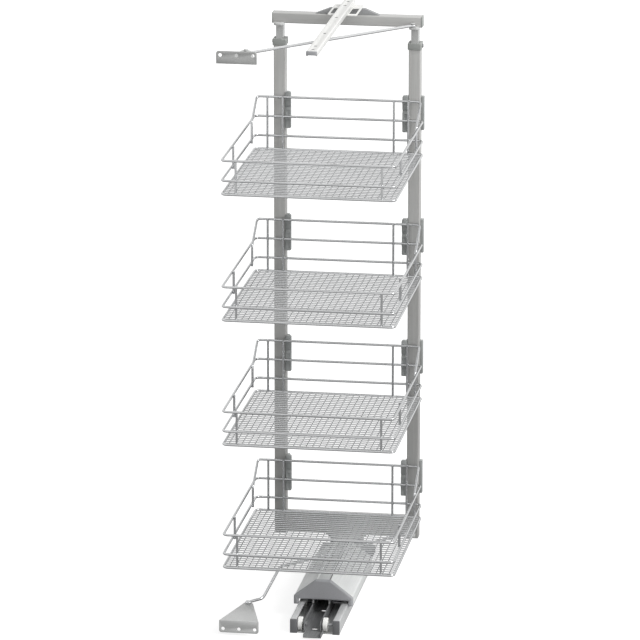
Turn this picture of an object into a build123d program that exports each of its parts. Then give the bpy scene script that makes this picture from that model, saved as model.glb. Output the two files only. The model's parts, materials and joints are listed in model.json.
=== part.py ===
# A pull-out larder frame that swivels as it comes out: four wire baskets on a height-adjustable frame,
# which rides on a floor runner, hangs from a ceiling runner and is turned by two control rods.
# Millimetres. X runs along the closed frame, +Y is the way it pulls out, +Z is up.
# The origin is on the cabinet floor, at the middle of the four screws that hold the floor rails.
import os
from math import atan2, cos, hypot, pi, sin

from build123d import *

os.makedirs("parts", exist_ok=True)

# Clearances that the pieces share
run_gap = 0.3              # between faces that slide past each other
pin_gap = 0.05             # radial, a pin in its bore
fit_gap = 0.1              # a plastic piece over or in a tube
cut_over = 2.0             # how far a cutting shape runs past the wall it cuts

# Floor rails: two C rails that open towards each other
rail_half = 59.5           # centre to the outer face
rail_height = 34.3
rail_wall = 2.2
rail_lip = 15.5
rail_flange = 46.0
rail_edge = 2.0            # outer bend
rail_back = -248.0
rail_length = 518.0
rail_hole_r = 2.6
rail_sink_r = 3.4
rail_hole_x = 38.0
rail_hole_y = 200.0
rail_end_thick = 4.0
rail_end_width = 17.0
tie_length = 40.0
tie_places = (-170.0, 230.0)

# U beam of the carriage, between the rails
beam_left = -27.0
beam_right = 15.0
beam_low = 4.0             # its underside above the floor
beam_wall = 2.0
beam_top = 30.0
beam_back = -252.0
beam_front = 288.0
tail_back = -294.0
tail_half = 21.3
tail_top = 12.0
slot_width = 12.0
near_slot_length = 15.5
near_slot_x = -3.0
near_slot_y = -231.0
far_slot_length = 24.0
far_slot_x = 2.5
far_slot_y = -93.0
far_hole_r = 4.0
far_hole_x = -16.0

# Wheels and rollers
wheel_y = -234.0
wheel_r = 16.5
wheel_width = 11.0
wheel_left_x = -36.3       # middle of the left wheel
wheel_right_x = 23.7
wheel_chamfer = 1.2
lift_roller_r = 12.8
middle_roller_r = 14.5
roller_width = 9.0
roller_x = 51.0
middle_y = -61.0
axle_r = 4.0
axle_end = 56.4
axle_head_r = 5.5
axle_head_height = 2.5

# Cover of the carriage: an extruded hood
cover_half = 70.0
cover_top_half = 17.5
cover_low = 28.0
cover_shoulder = 50.0
cover_top = 90.0
cover_wall = 2.0
cover_back = -114.0
cover_front = 199.0
cover_edge = 3.0
strip_half = 14.0
strip_groove = 1.5
strip_depth = 1.0
cap_low = 42.0
cap_proud = 1.5
cap_thick = 10.0
cap_foot_low = 29.0
cap_foot_gap = 0.8
cap_edge = 4.0
front_cap_thick = 4.0
body_wall = 3.0
body_top = 79.0

# Swivel under the frame
swivel_y = 254.0           # the swivel axis, and the middle of the frame's depth
base_low = 36.0
base_top = 52.0
base_half = 66.0
base_front = 288.0
base_edge = 6.0
turret_r = 41.0
turret_top = 86.0
turret_chamfer = 3.0
washer_thick = 2.0
washer_r = 38.0
plate_thick = 3.7
plate_r = 48.0
plate_half = 50.0
plate_flange = 43.3
plate_flange_thick = 3.0
swivel_bolt_r = 8.0
swivel_bolt_head_r = 12.0
swivel_bolt_head = 8.0
swivel_bolt_depth = 30.0

# Frame: two outer tubes and the cross member between their feet
tube_x = 163.5             # middle of each upright
tube_width = 28.5
tube_depth = 30.0
tube_wall = 1.5
tube_edge = 2.5
tube_low = turret_top + washer_thick + plate_thick
tube_top = 1326.0
plug_thick = 1.2
plug_depth = 12.0
plug_edge = 1.5
member_height = 52.0
member_depth = 24.0
member_wall = 2.0
bolt_hole_gap = 0.3

# Clamping collars on the uprights
collar_width = 33.0
collar_depth = 35.0
collar_low = 1313.8
collar_top = 1330.0
collar_edge = 2.0
collar_chamfer = 1.0
screw_r = 4.5
screw_head = 3.0
screw_hex_r = 2.0
screw_hex_depth = 1.8
screw_drop = 8.0           # below the collar's top

# Inner tubes, crossbar and what sits on it
inner_width = 17.5
inner_depth = 26.0
inner_wall = 1.2
inner_edge = 1.5
inner_low = 1000.0
bar_low = 1368.4
bar_height = 25.0
bar_half = 178.5
bar_cap = 3.0
shelf_width = 24.0
shelf_low = 1366.9
shelf_front_thick = 4.6
shelf_reach = 9.0          # past the rod pin, towards the baskets
wing_half = 78.0
wing_top_half = 42.0
wing_height = 14.6
wing_thick = 14.0
pivot_bolt_r = 5.0

# Ceiling runner
ceiling_low = 1411.0
ceiling_height = 12.0
ceiling_half = 12.75
ceiling_wall = 1.5
ceiling_lip = 2.0
ceiling_edge = 2.0
ceiling_back = -294.0
ceiling_length = 580.0
ceiling_hole_r = 3.8
ceiling_holes = (-275.7, -239.3, -101.8, 74.7, 211.0, 258.0)
stop_thick = 4.0
stop_height = 9.5
runner_back = -120.0
runner_front = 284.0
bracket_plate_half = 35.5
bracket_plate_back = 160.0
bracket_plate_front = 280.0
bracket_plate_thick = 2.4
window_inner = 14.0
window_outer = 31.0
window_back = 176.0
window_front = 240.0

# Rod brackets, screwed to the cabinet's back
rod_bracket_x = -175.4
rod_bracket_y = -292.7
rod_bracket_width = 94.8
rod_bracket_height = 29.8
rod_bracket_thick = 2.5
rod_bracket_low = 6.7
rod_bracket_high = 1385.9
rod_bracket_corner = 6.0
rod_bracket_tip = 20.0
rod_bracket_tip_edge = 9.0
rod_bracket_reach = 139.0
bracket_hole_pitch = 38.0
bracket_hole_r = 4.2
bracket_hole_inset = 9.5
rivet_r = 3.5
rivet_head_r = 5.5
rivet_head = 3.5

# Control rods
rod_r = 3.5
rod_flats = 10
rod_eye_r = 8.0
rod_eye_half = 3.0         # half the eye's thickness
rod_pin_r = 3.0
rod_pin_x = 160.0          # on the frame
rod_pin_y = 230.0
rod_pivot_inset = 7.0      # pivot to the bracket's tip
rod_flat = 45.0            # the lower rod's level start
rod_rise = 99.0            # plan distance at which it is up
rod_bend = 16.0
pin_head_r = 5.0
pin_head = 2.0
lug_width = 22.0
lug_low = 100.0
lug_thick = 4.0
lug_drop = 8.0

# Basket brackets: plastic clips that hold the uprights from the rear
clip_low = 51.5            # heights above the basket's bottom wire
clip_top = 141.0
clip_leg = 13.5
clip_leg_depth = 10.0
clip_arm = 5.0
clip_web = 3.0
clip_outer_leg = 6.4
clip_outer_low = 53.0
clip_outer_top = 135.0
clip_outer_front = 18.0    # behind the upright's front
clip_edge = 4.0
clip_foot_edge = 2.5
notch_height = 11.0
notch_depth = 5.0
notch_centre = 104.0
pocket_width = 7.5
pocket_depth = 1.2
pockets = ((55.5, 74.0), (85.5, 96.0))
hook_thick = 3.0
hook_reach = 3.4

# Baskets
basket_x = -18.5
basket_back = 230.0        # plane of the rear wires
basket_width = 407.9       # between wire centres
basket_depth = 464.0
basket_count = 4
basket_pitch = 304.0
basket_low = 148.7         # bottom wire of the lowest basket
basket_rail_heights = (0.0, 32.9, 80.8)
basket_top_height = 128.7
wire_r = 3.0
thin_wire_r = 2.7
wire_weld = 0.9            # how far crossing wires melt into each other
wire_flats = 8
post_flats = 6
basket_corner = 12.0
side_bend = 8.0
slope_share = 0.16         # of the depth, where the raised wire comes down at the side
side_post_share = 0.716
post_tail = 3.5            # how far a side post runs past its rim wires
post_end = 2.0             # the same at the rear and the front posts
rear_posts = (-172.4, -134.8, 134.6, 169.6)
front_posts = (-171.0, 173.0)
mesh_thick = 2.4
mesh_columns = 7
mesh_rows = 8
mesh_bar = 3.0
mesh_gap = 0.15            # between the mesh and the rim it is held in

front_y = swivel_y - tube_depth / 2        # the frame's face towards the baskets
rear_y = swivel_y + tube_depth / 2
tube_inside = tube_x - tube_width / 2
tube_outside = tube_x + tube_width / 2
wheel_z = rail_wall + run_gap + wheel_r
middle_z = rail_wall + run_gap + middle_roller_r
pivot_x = rod_bracket_x
pivot_y = rod_bracket_y + rod_bracket_reach - rod_pivot_inset


def section(y):
    """Plane for a profile drawn in X and Z, extruded towards +Y by a negative amount."""
    return Plane(origin=(0, y, 0), x_dir=(1, 0, 0), z_dir=(0, -1, 0))


def block(x0, x1, y0, y1, z0, z1, mode=Mode.ADD):
    with Locations(((x0 + x1) / 2, (y0 + y1) / 2, (z0 + z1) / 2)):
        Box(abs(x1 - x0), abs(y1 - y0), abs(z1 - z0), mode=mode)


def disc(x, y, z0, z1, radius, mode=Mode.ADD):
    with Locations((x, y, (z0 + z1) / 2)):
        Cylinder(radius, abs(z1 - z0), mode=mode)


def save(piece, label):
    piece.part.label = label
    export_step(piece.part, f"parts/{label}.step")


# Floor rails
def make_rail(label, side):
    inner_lip = side * (rail_half - rail_lip)
    inner_web = side * (rail_half - rail_wall)
    inner_flange = side * (rail_half - rail_flange)
    outer = side * rail_half
    with BuildPart() as rail:
        with BuildSketch(section(rail_back)) as profile:
            with BuildLine():
                Polyline(
                    (outer, 0), (outer, rail_height), (inner_lip, rail_height),
                    (inner_lip, rail_height - rail_wall), (inner_web, rail_height - rail_wall),
                    (inner_web, rail_wall), (inner_flange, rail_wall), (inner_flange, 0), close=True,
                )
            make_face()
            fillet(profile.vertices().group_by(Axis.X)[-1 if side > 0 else 0], rail_edge)
        extrude(amount=-rail_length)
        with Locations(*[(side * rail_hole_x, y, rail_wall) for y in (-rail_hole_y, rail_hole_y)]):
            CounterSinkHole(rail_hole_r, rail_sink_r)
    save(rail, label)


make_rail("rail_left", -1)
make_rail("rail_right", 1)

with BuildPart() as rail_ends:
    for side in (-1, 1):
        block(side * (rail_half - rail_end_width), side * rail_half, rail_back - rail_end_thick, rail_back,
              0, rail_height)
    upright_edges = rail_ends.edges().filter_by(Axis.Y)
    fillet(upright_edges.group_by(Axis.Z)[-1], rail_edge)
save(rail_ends, "rail_ends")

with BuildPart() as rail_ties:
    for y in tie_places:
        block(-(rail_half - rail_flange), rail_half - rail_flange, y - tie_length / 2, y + tie_length / 2,
              0, rail_wall)
save(rail_ties, "rail_ties")

# Carriage: U beam with a wider, lower tail
with BuildPart() as carriage_beam:
    block(beam_left, beam_right, beam_back, beam_front, beam_low, beam_top)
    block(-tail_half, tail_half, tail_back, beam_back, beam_low, tail_top)
    block(beam_left + beam_wall, beam_right - beam_wall, beam_back, beam_front + cut_over,
          beam_low + beam_wall, beam_top + cut_over, Mode.SUBTRACT)
    block(-tail_half + beam_wall, tail_half - beam_wall, tail_back - cut_over, beam_back,
          beam_low + beam_wall, tail_top + cut_over, Mode.SUBTRACT)
    for x, y, length in ((near_slot_x, near_slot_y, near_slot_length), (far_slot_x, far_slot_y, far_slot_length)):
        with BuildSketch(Plane.XY.offset(beam_low - cut_over)):
            with Locations((x, y)):
                SlotOverall(length, slot_width)
        extrude(amount=beam_wall + 2 * cut_over, mode=Mode.SUBTRACT)
    disc(far_hole_x, far_slot_y, beam_low - cut_over, beam_low + beam_wall + cut_over, far_hole_r, Mode.SUBTRACT)
    for y, z in ((wheel_y, wheel_z), (middle_y, middle_z)):
        with Locations(Location(((beam_left + beam_right) / 2, y, z), (0, 90, 0))):
            Cylinder(axle_r + pin_gap, beam_right - beam_left + 2 * cut_over, mode=Mode.SUBTRACT)
save(carriage_beam, "carriage_beam")


def axle_line(x0, x1, y, z, radius, mode=Mode.ADD):
    with Locations(Location(((x0 + x1) / 2, y, z), (0, 90, 0))):
        Cylinder(radius, abs(x1 - x0), mode=mode)


with BuildPart() as wheel_axles:
    for y, z in ((wheel_y, wheel_z), (middle_y, middle_z)):
        for inner_face, side in ((beam_left + beam_wall, -1), (beam_right - beam_wall, 1)):
            axle_line(inner_face, side * axle_end, y, z, axle_r)
            with BuildSketch(Plane.YZ.offset(inner_face)):
                with Locations((y, z)):
                    RegularPolygon(axle_head_r, 6)
            extrude(amount=-side * axle_head_height)
save(wheel_axles, "wheel_axles")


def add_wheel(x, y, z, radius, width):
    axle_line(x - width / 2, x + width / 2, y, z, radius)
    axle_line(x - width / 2 - cut_over, x + width / 2 + cut_over, y, z, axle_r + pin_gap, Mode.SUBTRACT)


with BuildPart() as rear_wheels:
    for x in (wheel_left_x, wheel_right_x):
        add_wheel(x, wheel_y, wheel_z, wheel_r, wheel_width)
    treads = rear_wheels.edges().filter_by(GeomType.CIRCLE).sort_by(SortBy.RADIUS)[-2 * 2:]
    chamfer(treads, wheel_chamfer)
save(rear_wheels, "rear_wheels")

with BuildPart() as lift_rollers:
    for x in (-roller_x, roller_x):
        add_wheel(x, wheel_y, wheel_z, lift_roller_r, roller_width)
save(lift_rollers, "lift_rollers")

with BuildPart() as middle_rollers:
    for x in (-roller_x, roller_x):
        add_wheel(x, middle_y, middle_z, middle_roller_r, roller_width)
save(middle_rollers, "middle_rollers")


def hood_outline(grow, low):
    """The hood's outline in X and Z, grown outwards and cut off at a height."""
    return (
        (-cover_half - grow, low), (-cover_half - grow, cover_shoulder), (-cover_top_half, cover_top + grow),
        (cover_top_half, cover_top + grow), (cover_half + grow, cover_shoulder), (cover_half + grow, low),
    )


with BuildPart() as cover:
    with BuildSketch(section(cover_back)) as profile:
        with BuildLine():
            Polyline(*hood_outline(0, cover_low), close=True)
        make_face()
        fillet(profile.vertices().group_by(Axis.Y)[1:], cover_edge)
        offset(amount=-cover_wall, kind=Kind.INTERSECTION, mode=Mode.SUBTRACT)
        with Locations((0, cover_low)):
            Rectangle(2 * (cover_half - cover_wall), 2 * cover_wall, mode=Mode.SUBTRACT)
        with Locations((0, cover_top)):
            Rectangle(2 * (strip_half + strip_groove), 2 * strip_depth, mode=Mode.SUBTRACT)
    extrude(amount=-(cover_front - cover_back))
save(cover, "cover")

with BuildPart() as cover_strip:
    block(-strip_half, strip_half, cover_back, cover_front, cover_top - strip_depth, cover_top)
save(cover_strip, "cover_strip")

with BuildPart() as cover_cap_rear:
    with BuildSketch(section(cover_back - cap_thick)) as profile:
        with BuildLine():
            Polyline(*hood_outline(cap_proud, cap_low), close=True)
        make_face()
        fillet(profile.vertices(), cap_edge)
    extrude(amount=-cap_thick)
    for side in (-1, 1):
        block(side * (rail_half + cap_foot_gap), side * (cover_half + cap_proud), cover_back - cap_thick, cover_back,
              cap_foot_low, cap_low + cap_edge + cap_foot_gap)
    chamfer(cover_cap_rear.faces().sort_by(Axis.Y)[0].edges(), cover_edge)
save(cover_cap_rear, "cover_cap_rear")

with BuildPart() as cover_cap_front:
    with BuildSketch(section(cover_front)) as profile:
        with BuildLine():
            Polyline(*hood_outline(0, cap_low), close=True)
        make_face()
        fillet(profile.vertices(), cover_edge)
    extrude(amount=-front_cap_thick)
save(cover_cap_front, "cover_cap_front")

# The hidden inverted channel that carries the cover and stiffens the beam
with BuildPart() as carriage_body:
    block(beam_left, beam_right, cover_back, cover_front, beam_top, body_top)
    block(beam_left + body_wall, beam_right - body_wall, cover_back - cut_over, cover_front + cut_over,
          beam_top - cut_over, body_top - body_wall, Mode.SUBTRACT)
save(carriage_body, "carriage_body")

# Swivel: a cast base on the carriage, a washer and the frame's own plate
with BuildPart() as swivel_base:
    with BuildSketch(Plane.XY.offset(base_low)) as outline:
        with Locations((0, (cover_front + front_cap_thick + base_front) / 2)):
            Rectangle(2 * base_half, base_front - cover_front - front_cap_thick)
        fillet(outline.vertices().group_by(Axis.Y)[-1], base_edge)
    extrude(amount=base_top - base_low)
    for edge, step in ((beam_left, body_wall), (beam_right, -body_wall)):
        block(edge, edge + step, cover_front + front_cap_thick, base_front, beam_top, base_low)
    disc(0, swivel_y, base_top, turret_top, turret_r)
    chamfer(swivel_base.edges().filter_by(GeomType.CIRCLE).sort_by(Axis.Z)[-1], turret_chamfer)
    disc(0, swivel_y, turret_top - swivel_bolt_depth, turret_top + cut_over, swivel_bolt_r + pin_gap, Mode.SUBTRACT)
save(swivel_base, "swivel_base")

with BuildPart() as swivel_washer:
    disc(0, swivel_y, turret_top, turret_top + washer_thick, washer_r)
    disc(0, swivel_y, turret_top - cut_over, turret_top + washer_thick + cut_over,
         swivel_bolt_r + bolt_hole_gap, Mode.SUBTRACT)
save(swivel_washer, "swivel_washer")

with BuildPart() as swivel_plate:
    disc(0, swivel_y, tube_low - plate_thick, tube_low, plate_r)
    block(-plate_half, plate_half, front_y - plate_flange_thick, front_y, tube_low, tube_low + plate_flange)
    disc(0, swivel_y, tube_low - plate_thick - cut_over, tube_low + cut_over,
         swivel_bolt_r + bolt_hole_gap, Mode.SUBTRACT)
    corner_edges = swivel_plate.edges().filter_by(Axis.Y).group_by(Axis.Z)[-1]
    fillet(corner_edges, base_edge)
save(swivel_plate, "swivel_plate")

with BuildPart() as swivel_bolt:
    disc(0, swivel_y, turret_top - swivel_bolt_depth + cut_over, tube_low + member_wall, swivel_bolt_r)
    with BuildSketch(Plane.XY.offset(tube_low + member_wall)):
        with Locations((0, swivel_y)):
            RegularPolygon(swivel_bolt_head_r, 6)
    extrude(amount=swivel_bolt_head)
save(swivel_bolt, "swivel_bolt")

# Lower cross member: a channel that opens to the rear
with BuildPart() as cross_member:
    with BuildSketch(Plane.YZ.offset(-tube_inside)) as profile:
        with BuildLine():
            back = front_y + member_depth
            top = tube_low + member_height
            Polyline(
                (back, tube_low), (front_y, tube_low), (front_y, top), (back, top), (back, top - member_wall),
                (front_y + member_wall, top - member_wall), (front_y + member_wall, tube_low + member_wall),
                (back, tube_low + member_wall), close=True,
            )
        make_face()
        fillet(profile.vertices().group_by(Axis.X)[0], rail_edge)
    extrude(amount=2 * tube_inside)
    disc(0, swivel_y, tube_low - cut_over, tube_low + member_wall + cut_over,
         swivel_bolt_r + bolt_hole_gap, Mode.SUBTRACT)
save(cross_member, "cross_member")


def tube_sketch(x, width, depth, wall, edge):
    with Locations((x, swivel_y)):
        RectangleRounded(width, depth, edge)
        Rectangle(width - 2 * wall, depth - 2 * wall, mode=Mode.SUBTRACT)


# Uprights, their foot plugs, the collars and clamp screws on their tops
def make_upright(label, x):
    with BuildPart() as upright:
        with BuildSketch(Plane.XY.offset(tube_low)):
            tube_sketch(x, tube_width, tube_depth, tube_wall, tube_edge)
        extrude(amount=tube_top - tube_low)
    save(upright, label)


make_upright("upright_left", -tube_x)
make_upright("upright_right", tube_x)

with BuildPart() as upright_plugs:
    for x in (-tube_x, tube_x):
        with BuildSketch(Plane.XY.offset(tube_low - plug_thick)) as foot:
            with Locations((x, swivel_y)):
                Rectangle(tube_width, tube_depth)
            chamfer(foot.vertices(), plug_edge)
        extrude(amount=plug_thick)
        with BuildSketch(Plane.XY.offset(tube_low)):
            with Locations((x, swivel_y)):
                Rectangle(tube_width - 2 * tube_wall - 2 * fit_gap, tube_depth - 2 * tube_wall - 2 * fit_gap)
        extrude(amount=plug_depth)
save(upright_plugs, "upright_plugs")


def make_collar(label, x):
    with BuildPart() as collar:
        with BuildSketch(Plane.XY.offset(collar_low)):
            with Locations((x, swivel_y)):
                Rectangle(collar_width, collar_depth)
        extrude(amount=collar_top - collar_low)
        chamfer(collar.edges().filter_by(Axis.Z), collar_edge)
        chamfer(collar.faces().sort_by(Axis.Z)[-1].edges(), collar_chamfer)
        chamfer(collar.faces().sort_by(Axis.Z)[0].edges(), collar_chamfer)
        with BuildSketch(Plane.XY.offset(collar_low)):
            with Locations((x, swivel_y)):
                Rectangle(tube_width + 2 * fit_gap, tube_depth + 2 * fit_gap)
        extrude(amount=tube_top - collar_low, mode=Mode.SUBTRACT)
        with BuildSketch(Plane.XY.offset(tube_top)):
            with Locations((x, swivel_y)):
                Rectangle(inner_width + 2 * run_gap, inner_depth + 2 * run_gap)
        extrude(amount=collar_top - tube_top + cut_over, mode=Mode.SUBTRACT)
    save(collar, label)


make_collar("collar_left", -tube_x)
make_collar("collar_right", tube_x)

with BuildPart() as clamp_screws:
    for side in (-1, 1):
        seat = side * (tube_x + collar_width / 2)
        tip = seat + side * screw_head
        z = collar_top - screw_drop
        axle_line(seat, tip, swivel_y, z, screw_r)
        with BuildSketch(Plane.YZ.offset(tip - side * screw_hex_depth)):
            with Locations((swivel_y, z)):
                RegularPolygon(screw_hex_r, 6)
        extrude(amount=side * (screw_hex_depth + cut_over), mode=Mode.SUBTRACT)
save(clamp_screws, "clamp_screws")

def add_rod_pin(seat):
    """A headed pin for a rod's eye, standing on a seat at this height."""
    shank_top = seat + 2 * run_gap + 2 * rod_r
    disc(rod_pin_x, rod_pin_y, seat, shank_top, rod_pin_r)
    disc(rod_pin_x, rod_pin_y, shank_top, shank_top + pin_head, pin_head_r)


# Lug for the lower rod, on the front of the right upright
with BuildPart() as lower_rod_lug:
    with BuildSketch(Plane.XY.offset(lug_low)) as outline:
        with Locations((rod_pin_x, (front_y + rod_pin_y - shelf_reach) / 2)):
            Rectangle(lug_width, front_y - rod_pin_y + shelf_reach)
        fillet(outline.vertices().group_by(Axis.Y)[0], shelf_reach)
    extrude(amount=lug_thick)
    block(rod_pin_x - lug_width / 2, rod_pin_x + lug_width / 2, front_y - plate_flange_thick, front_y,
          lug_low - lug_drop, lug_low)
    add_rod_pin(lug_low + lug_thick)
save(lower_rod_lug, "lower_rod_lug")


# Basket brackets: a web behind the upright with a leg inside and, on the right, one outside
def make_basket_bracket(label, side, base):
    inner = side * (tube_inside - run_gap)
    inner_tip = inner - side * clip_leg
    outer = side * tube_outside
    face = basket_back + wire_r + run_gap
    back = rear_y + clip_web
    with BuildPart() as clip:
        block(inner_tip, inner, face, face + clip_leg_depth, base + clip_low, base + clip_top)
        leg_edges = clip.edges().filter_by(Axis.Y).group_by(Axis.Z)
        fillet(leg_edges[-1], clip_edge)
        fillet(clip.edges().filter_by(Axis.Y).group_by(Axis.Z)[0], clip_foot_edge)
        with BuildSketch(Plane.YZ.offset(min(inner_tip, inner) - cut_over)) as groove:
            with BuildLine():
                low = base + notch_centre - notch_height / 2
                high = base + notch_centre + notch_height / 2
                Polyline((face, low), (face + notch_depth, base + notch_centre), (face, high), close=True)
            make_face()
        extrude(groove.sketch, amount=clip_leg + 2 * cut_over, mode=Mode.SUBTRACT)
        middle = (inner + inner_tip) / 2
        for low, high in pockets:
            block(middle - pocket_width / 2, middle + pocket_width / 2, face - cut_over, face + pocket_depth,
                  base + low, base + high, Mode.SUBTRACT)
        arm = inner - side * clip_arm
        reach = outer + clip_outer_leg if side > 0 else outer
        block(arm, inner, face + notch_depth, back, base + clip_outer_low, base + clip_outer_top)
        block(arm, reach, rear_y, back, base + clip_outer_low, base + clip_outer_top)
        if side > 0:
            block(outer + run_gap, reach, front_y + clip_outer_front, back, base + clip_outer_low,
                  base + clip_outer_top)
        for height in (basket_rail_heights[-1], basket_top_height):
            top = base + height - wire_r - run_gap
            block(inner_tip, inner, face - hook_reach, face, top - hook_thick, top)
    save(clip, label)


basket_bases = [basket_low + basket_pitch * (basket_count - 1 - level) for level in range(basket_count)]
for level, base in enumerate(basket_bases, start=1):
    make_basket_bracket(f"basket_bracket_left_{level}", -1, base)
    make_basket_bracket(f"basket_bracket_right_{level}", 1, base)


# Inner tubes and the plastic shelves that join them to the crossbar
def make_inner_tube(label, x):
    with BuildPart() as tube:
        with BuildSketch(Plane.XY.offset(inner_low)):
            tube_sketch(x, inner_width, inner_depth, inner_wall, inner_edge)
        extrude(amount=shelf_low - inner_low)
    save(tube, label)


make_inner_tube("inner_tube_left", -tube_x)
make_inner_tube("inner_tube_right", tube_x)


def make_shelf(label, x, pin):
    front = rod_pin_y - shelf_reach
    with BuildPart() as shelf:
        block(x - shelf_width / 2, x + shelf_width / 2, front, rear_y, shelf_low, bar_low)
        block(x - shelf_width / 2, x + shelf_width / 2, front, front_y, bar_low - cut_over, shelf_low + shelf_front_thick)
        front_edges = shelf.edges().filter_by(Axis.Z).group_by(Axis.Y)[0]
        fillet(front_edges, shelf_reach)
        if pin:
            add_rod_pin(shelf_low + shelf_front_thick)
    save(shelf, label)


make_shelf("tube_shelf_left", -tube_x, False)
make_shelf("tube_shelf_right", tube_x, True)

with BuildPart() as crossbar:
    with BuildSketch(Plane.YZ.offset(-bar_half)):
        with Locations((swivel_y, bar_low + bar_height / 2)):
            RectangleRounded(tube_depth, bar_height, tube_edge)
            Rectangle(tube_depth - 2 * tube_wall, bar_height - 2 * tube_wall, mode=Mode.SUBTRACT)
    extrude(amount=2 * bar_half)
save(crossbar, "crossbar")

with BuildPart() as crossbar_caps:
    for side in (-1, 1):
        with BuildSketch(Plane.YZ.offset(side * bar_half)) as lid:
            with Locations((swivel_y, bar_low + bar_height / 2)):
                Rectangle(tube_depth, bar_height)
            chamfer(lid.vertices(), plug_edge)
        extrude(amount=side * bar_cap)
        with BuildSketch(Plane.YZ.offset(side * bar_half)):
            with Locations((swivel_y, bar_low + bar_height / 2)):
                Rectangle(tube_depth - 2 * tube_wall - 2 * fit_gap, bar_height - 2 * tube_wall - 2 * fit_gap)
        extrude(amount=-side * plug_depth)
save(crossbar_caps, "crossbar_caps")

# Wings, bolt and bracket plate of the upper pivot
bar_top = bar_low + bar_height
plate_top = ceiling_low - run_gap
with BuildPart() as pivot_wings:
    with BuildSketch(section(swivel_y - wing_thick / 2)):
        with BuildLine():
            Polyline((-wing_half, bar_top), (wing_half, bar_top), (wing_top_half, bar_top + wing_height),
                     (-wing_top_half, bar_top + wing_height), close=True)
        make_face()
    extrude(amount=-wing_thick)
    disc(0, swivel_y, bar_top - cut_over, bar_top + wing_height + cut_over, pivot_bolt_r + pin_gap, Mode.SUBTRACT)
save(pivot_wings, "pivot_wings")

with BuildPart() as pivot_bolt:
    disc(0, swivel_y, bar_top, plate_top - run_gap, pivot_bolt_r)
save(pivot_bolt, "pivot_bolt")

with BuildPart() as pivot_bracket:
    block(-bracket_plate_half, bracket_plate_half, bracket_plate_back, bracket_plate_front,
          plate_top - bracket_plate_thick, plate_top)
    fillet(pivot_bracket.edges().filter_by(Axis.Z), base_edge)
    for side in (-1, 1):
        with BuildSketch(Plane.XY.offset(plate_top - bracket_plate_thick - cut_over)):
            with Locations((side * (window_inner + window_outer) / 2, (window_back + window_front) / 2)):
                Rectangle(window_outer - window_inner, window_front - window_back)
        extrude(amount=bracket_plate_thick + 2 * cut_over, mode=Mode.SUBTRACT)
    disc(0, swivel_y, plate_top - bracket_plate_thick - cut_over, plate_top + cut_over,
         pivot_bolt_r + pin_gap, Mode.SUBTRACT)
save(pivot_bracket, "pivot_bracket")

# Ceiling rail, a lipped channel, and the T runner inside it
ceiling_top = ceiling_low + ceiling_height
ceiling_inner = ceiling_half - ceiling_wall
ceiling_mouth = ceiling_inner - ceiling_lip
with BuildPart() as ceiling_rail:
    with BuildSketch(section(ceiling_back)) as profile:
        with Locations((0, (ceiling_low + ceiling_top) / 2)):
            Rectangle(2 * ceiling_half, ceiling_height)
        fillet(profile.vertices().group_by(Axis.Y)[-1], ceiling_edge)
        with Locations((0, (ceiling_low + ceiling_top) / 2)):
            Rectangle(2 * ceiling_inner, ceiling_height - 2 * ceiling_wall, mode=Mode.SUBTRACT)
        with Locations((0, ceiling_low)):
            Rectangle(2 * ceiling_mouth, 4 * ceiling_wall, mode=Mode.SUBTRACT)
    extrude(amount=-ceiling_length)
    for y in ceiling_holes:
        disc(0, y, ceiling_top - ceiling_wall - cut_over, ceiling_top + cut_over, ceiling_hole_r, Mode.SUBTRACT)
save(ceiling_rail, "ceiling_rail")

with BuildPart() as ceiling_stop:
    block(-ceiling_half, ceiling_half, ceiling_back - stop_thick, ceiling_back, ceiling_top - stop_height, ceiling_top)
save(ceiling_stop, "ceiling_stop")

with BuildPart() as slide_runner:
    neck_half = ceiling_mouth - run_gap
    head_half = ceiling_inner - run_gap
    head_low = ceiling_low + ceiling_wall + run_gap
    with BuildSketch(section(runner_back)):
        with BuildLine():
            Polyline(
                (-neck_half, plate_top), (neck_half, plate_top), (neck_half, head_low), (head_half, head_low),
                (head_half, ceiling_top - ceiling_wall - run_gap), (-head_half, ceiling_top - ceiling_wall - run_gap),
                (-head_half, head_low), (-neck_half, head_low), close=True,
            )
        make_face()
    extrude(amount=-(runner_front - runner_back))
save(slide_runner, "slide_runner")


# Rod brackets: a screwed flange with a tapering plate that carries the rod's pivot
def make_rod_bracket(label, low, plate_up):
    high = low + rod_bracket_height
    plate_low = high - rod_bracket_thick if plate_up else low
    hole_z = low + bracket_hole_inset if plate_up else high - bracket_hole_inset
    half = rod_bracket_width / 2
    tip = rod_bracket_y + rod_bracket_reach
    with BuildPart() as bracket:
        with BuildSketch(section(rod_bracket_y)) as face:
            with Locations((rod_bracket_x, (low + high) / 2)):
                Rectangle(rod_bracket_width, rod_bracket_height)
            fillet(face.vertices().group_by(Axis.Y)[0 if plate_up else -1], rod_bracket_corner)
            with Locations(*[(rod_bracket_x + step * bracket_hole_pitch, hole_z) for step in (-1, 0, 1)]):
                Circle(bracket_hole_r, mode=Mode.SUBTRACT)
        extrude(amount=-rod_bracket_thick)
        with BuildSketch(Plane.XY.offset(plate_low)) as plate:
            with BuildLine():
                Polyline(
                    (rod_bracket_x - half, rod_bracket_y), (rod_bracket_x + half, rod_bracket_y),
                    (rod_bracket_x + rod_bracket_tip / 2, tip), (rod_bracket_x - rod_bracket_tip / 2, tip), close=True,
                )
            make_face()
            fillet(plate.vertices().group_by(Axis.Y)[-1], rod_bracket_tip_edge)
        extrude(amount=rod_bracket_thick)
        disc(pivot_x, pivot_y, plate_low - cut_over, plate_low + rod_bracket_thick + cut_over,
             rivet_r + pin_gap, Mode.SUBTRACT)
    save(bracket, label)
    return plate_low


lower_plate = make_rod_bracket("lower_bracket", rod_bracket_low, True)
upper_plate = make_rod_bracket("upper_bracket", rod_bracket_high, False)


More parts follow.
